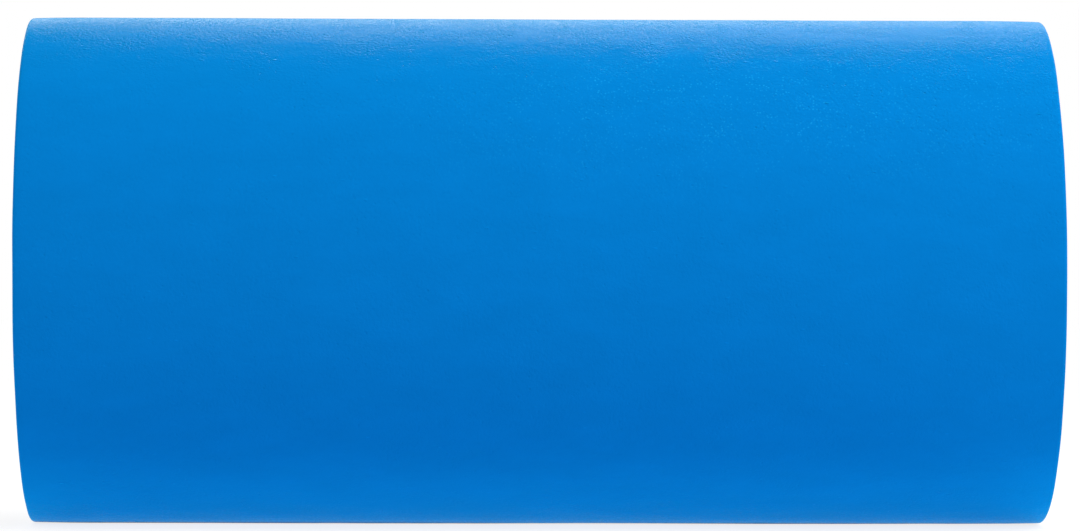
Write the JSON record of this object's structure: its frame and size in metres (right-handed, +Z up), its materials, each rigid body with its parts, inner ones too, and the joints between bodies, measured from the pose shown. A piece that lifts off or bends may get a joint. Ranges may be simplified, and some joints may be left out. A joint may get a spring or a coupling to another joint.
{
  "type": "massage roller",
  "caption": "Smooth cylindrical foam massage roller: blue foam wrap over a firm foam layer, glued round a rigid open tube.",
  "frame": {"origin": "on the floor under the middle of the roller, which lies on its side", "axes": "+X along the roller's axis, +Y towards its far side as the picture shows it, +Z up"},
  "size_m": [0.3, 0.15, 0.15],
  "materials": {
    "wrap_foam": "matt closed-cell EVA foam, saturated blue, fine skin grain",
    "base_foam": "matt closed-cell EVA foam, charcoal, cut ends",
    "core_plastic": "black extruded plastic with faint die lines, satin"
  },
  "bodies": {
    "root": {"outer_foam_wrap": "wrap_foam", "firm_base_layer": "base_foam", "core_tube": "core_plastic"}
  },
  "joints": []
}
